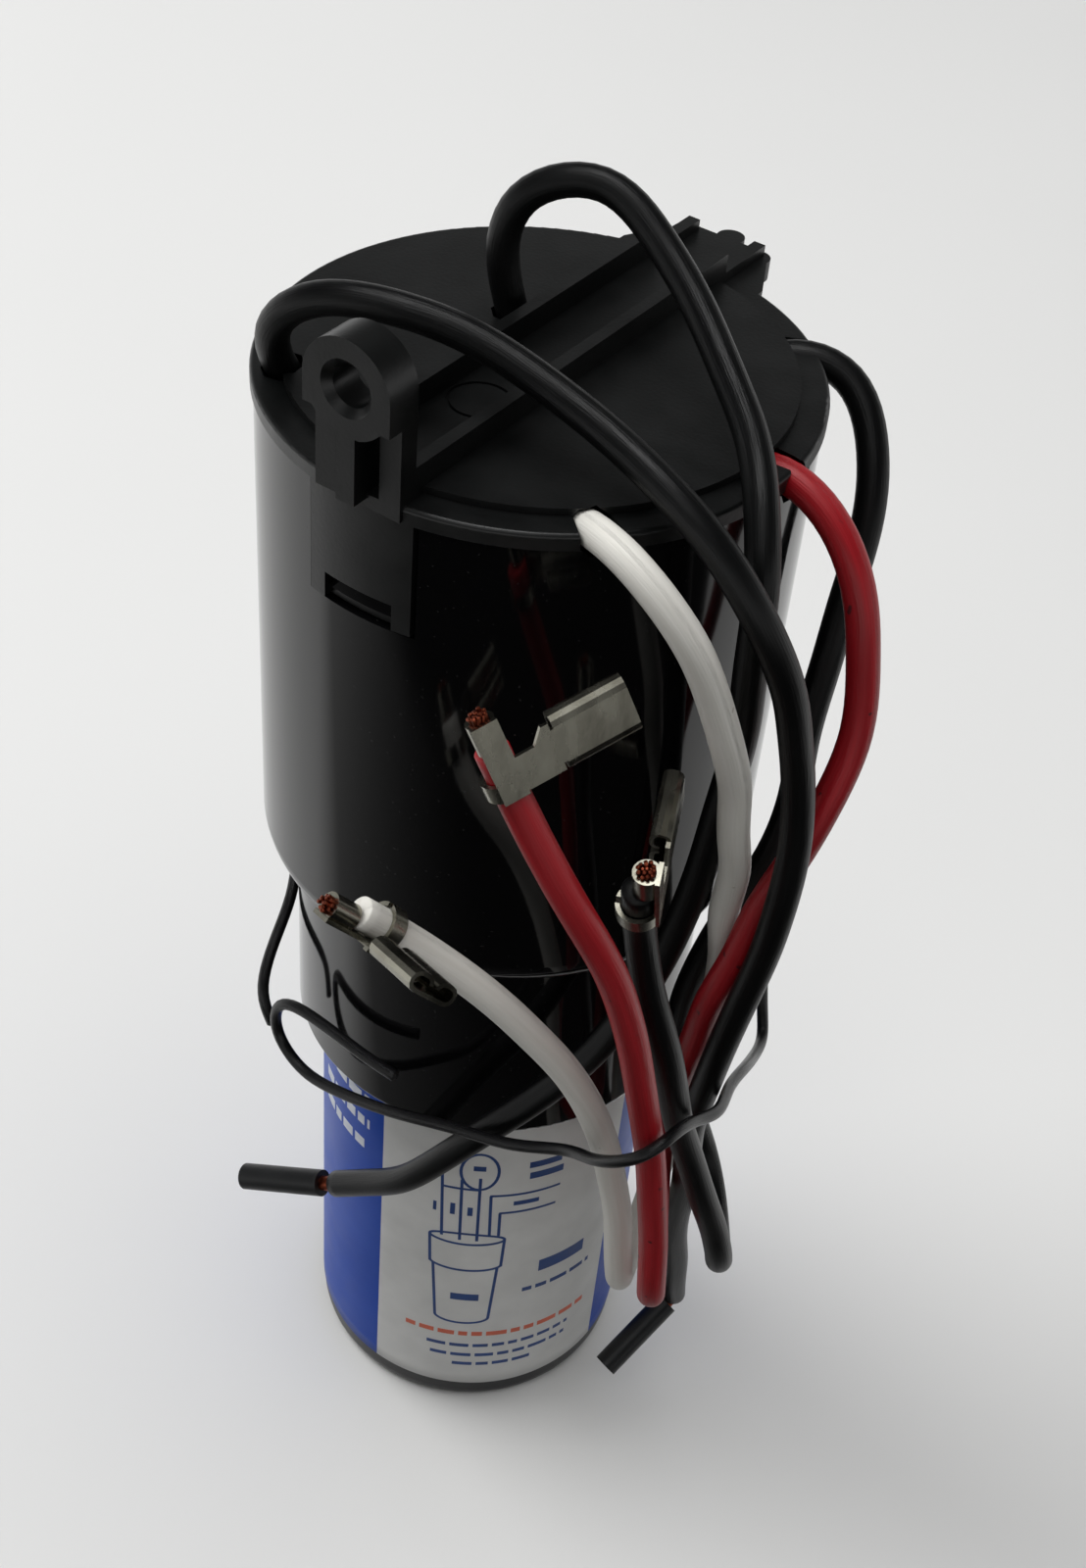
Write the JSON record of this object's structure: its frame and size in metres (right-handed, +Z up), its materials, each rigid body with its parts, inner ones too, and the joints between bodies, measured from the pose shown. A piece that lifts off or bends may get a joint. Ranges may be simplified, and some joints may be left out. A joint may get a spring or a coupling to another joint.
{
  "type": "compressor start relay",
  "caption": "Start relay for a refrigeration compressor: stepped black housing with a clip-on lid over a plug-in start capacitor, a tied bundle of leads and a mounting ear.",
  "frame": {"origin": "on the floor, on the axis of the capacitor can", "axes": "+Z up along the can's axis, -Y toward the ear with the hole"},
  "size_m": [0.0621, 0.0734, 0.149],
  "materials": {
    "housing_gloss": "glossy black moulding",
    "lid_matte": "satin black moulding",
    "case_black": "black moulded can",
    "phenolic": "brown phenolic",
    "label_print": "blue and silver printed sleeve",
    "inner_plastic": "grey moulding",
    "ceramic": "grey ceramic",
    "spring_brass": "brass strip",
    "tinned_steel": "tinned",
    "lead_white": "white insulation",
    "lead_red": "red insulation",
    "lead_black": "black insulation",
    "tie_coat": "coated tie wire",
    "terminal_metal": "tin-plated brass",
    "copper": "bare copper strands"
  },
  "bodies": {
    "root": {"housing": "housing_gloss", "lid": "lid_matte", "capacitor_case": "case_black", "capacitor_cover": "phenolic", "capacitor_tab_a": "tinned_steel", "capacitor_tab_b": "tinned_steel", "capacitor_label": "label_print", "relay_case": "inner_plastic", "relay_cover": "inner_plastic", "ptc_pill": "ceramic", "contact_spring_a": "spring_brass", "contact_spring_b": "spring_brass", "overload_base": "phenolic", "overload_cover": "phenolic", "bimetal_disc": "spring_brass", "overload_pin": "tinned_steel", "heater_wire": "tinned_steel", "lug_white": "spring_brass", "lug_red": "spring_brass", "lug_black": "spring_brass", "lug_line_a": "spring_brass", "lug_line_b": "spring_brass", "lead_white": "lead_white", "lead_red": "lead_red", "lead_black": "lead_black", "lead_line_a": "lead_black", "lead_line_b": "lead_black", "terminal_white": "terminal_metal", "terminal_red": "terminal_metal", "terminal_black": "terminal_metal", "strands_white": "copper", "strands_red": "copper", "strands_black": "copper", "core_line_a": "copper", "core_line_b": "copper", "slug_line_a": "lead_black", "slug_line_b": "lead_black", "tie_wire": "tie_coat"}
  },
  "joints": []
}
